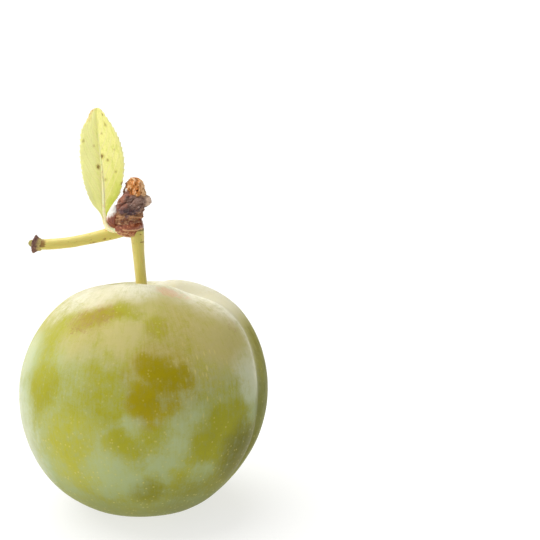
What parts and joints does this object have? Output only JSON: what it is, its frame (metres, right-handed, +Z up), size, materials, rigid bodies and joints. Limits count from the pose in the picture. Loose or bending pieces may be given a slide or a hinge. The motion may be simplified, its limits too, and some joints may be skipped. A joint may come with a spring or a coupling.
{
  "type": "greengage plum",
  "caption": "Round yellow-green plum with a groove down one side, its stalk in a hollow at the top, a knobbly woody spur, a spent stalk and a small toothed leaf.",
  "frame": {"origin": "on the small flat spot that the fruit rests on, straight below the fruit's middle", "axes": "+Z is up, towards the stalk, which leans 11 degrees back towards +Y; -Y is the front; +X is the side with the groove"},
  "size_m": [0.042, 0.0409, 0.0667],
  "materials": {
    "skin": "yellow-green fruit skin with a pale waxy bloom, rubbed off in patches",
    "stalk": "pale yellow-green stalk, brown and dry at its broken end",
    "bark": "rough grey-brown bark with glossy red-brown bud scales and a torn orange tip",
    "leaf": "soft pale yellow-green leaf with brown specks"
  },
  "bodies": {
    "root": {"plum": "skin", "fruit_stalk": "stalk", "spur": "bark", "bare_stalk": "stalk", "leaf": "leaf"}
  },
  "joints": []
}
